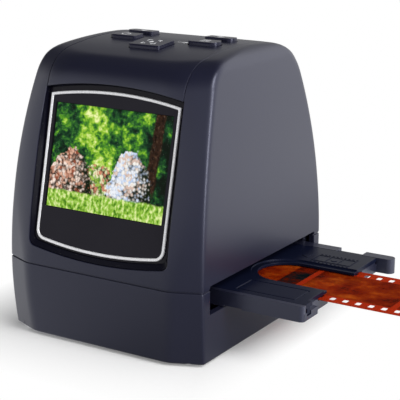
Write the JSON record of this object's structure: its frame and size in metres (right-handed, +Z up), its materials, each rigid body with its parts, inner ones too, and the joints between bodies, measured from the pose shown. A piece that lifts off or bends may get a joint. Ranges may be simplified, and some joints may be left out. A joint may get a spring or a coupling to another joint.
{
  "type": "desktop film negative scanner",
  "caption": "Stand-alone film scanner: upright housing with a leaning screen and top keys, and a film tray that slides through a side slot under the lens.",
  "frame": {"origin": "centre of the underside of the housing, in the plane of its flat face; the rubber feet stand 1 mm below it", "axes": "+X to the right seen from the screen side, along the film's way through the slot; +Y to the back; +Z up"},
  "size_m": [0.183, 0.0935, 0.1055],
  "materials": {
    "housing": "satin dark blue-black moulded plastic",
    "key_plastic": "satin, with pale symbols",
    "bezel_black": "gloss black",
    "trim_chrome": "bright plated",
    "window_clear": "clear with a black printed border",
    "display": "lit picture",
    "sheet_steel": "plated sheet",
    "circuit_board": "green solder mask",
    "flat_cable": "polyimide film",
    "ribbon": "white flat ribbon",
    "switch_plastic": "moulded",
    "optics_black": "matt black",
    "optical_glass": "coated",
    "sensor_chip": "glass-topped chip",
    "spring_steel": "bright strip",
    "white_plastic": "reflective white",
    "led_plastic": "phosphor",
    "foot_rubber": "matt",
    "screw_steel": "zinc plated",
    "tray_plastic": "satin dark moulded plastic",
    "film_base": "orange-red colour negative"
  },
  "bodies": {
    "housing": {"lower_housing": "housing", "upper_housing": "housing", "top_panel": "housing", "screen_bezel": "bezel_black", "bezel_trim": "trim_chrome", "screen_window": "window_clear", "lcd_panel": "display", "lcd_backlight": "sheet_steel", "lcd_flex": "flat_cable", "display_board": "circuit_board", "main_board": "circuit_board", "display_ribbon": "ribbon", "key_ribbon": "ribbon", "io_board": "circuit_board", "usb_socket": "sheet_steel", "card_socket": "sheet_steel", "av_jack": "switch_plastic", "key_board": "circuit_board", "key_switches": "switch_plastic", "optics_frame": "optics_black", "lens_barrel": "optics_black", "lens_glasses": "optical_glass", "aperture_ring": "optics_black", "image_sensor": "sensor_chip", "sensor_board": "circuit_board", "film_deck": "optics_black", "detent_spring": "spring_steel", "light_box": "white_plastic", "led_board": "white_plastic", "leds": "led_plastic", "diffuser": "white_plastic", "rubber_feet": "foot_rubber", "housing_screws": "screw_steel", "deck_screws": "screw_steel", "optics_screws": "screw_steel", "board_screws": "screw_steel"},
    "scan_button": {"scan_key": "key_plastic"},
    "power_button": {"power_key": "key_plastic"},
    "mode_button": {"mode_key": "key_plastic"},
    "back_button": {"back_key": "key_plastic"},
    "next_button": {"next_key": "key_plastic"},
    "tray": {"film_tray": "tray_plastic", "film_gate": "tray_plastic", "hinge_pins": "spring_steel"},
    "film": {"film_strip": "film_base"}
  },
  "joints": [
    {"name": "tray_slide", "type": "slide", "parent": "housing", "child": "tray", "axis": [1, 0, 0], "range_m": [-0.03, 0.06]},
    {"name": "film_slide", "type": "slide", "parent": "tray", "child": "film", "axis": [1, 0, 0], "range_m": [-0.114, 0.038]},
    {"name": "scan_press", "type": "slide", "parent": "housing", "child": "scan_button", "axis": [0, 0, -1], "range_m": [0, 0.0008], "stiffness_N_per_m": 900},
    {"name": "power_press", "type": "slide", "parent": "housing", "child": "power_button", "axis": [0, 0, -1], "range_m": [0, 0.0008], "stiffness_N_per_m": 900},
    {"name": "mode_press", "type": "slide", "parent": "housing", "child": "mode_button", "axis": [0, 0, -1], "range_m": [0, 0.0008], "stiffness_N_per_m": 900},
    {"name": "back_press", "type": "slide", "parent": "housing", "child": "back_button", "axis": [0, 0, -1], "range_m": [0, 0.0008], "stiffness_N_per_m": 900},
    {"name": "next_press", "type": "slide", "parent": "housing", "child": "next_button", "axis": [0, 0, -1], "range_m": [0, 0.0008], "stiffness_N_per_m": 900}
  ]
}
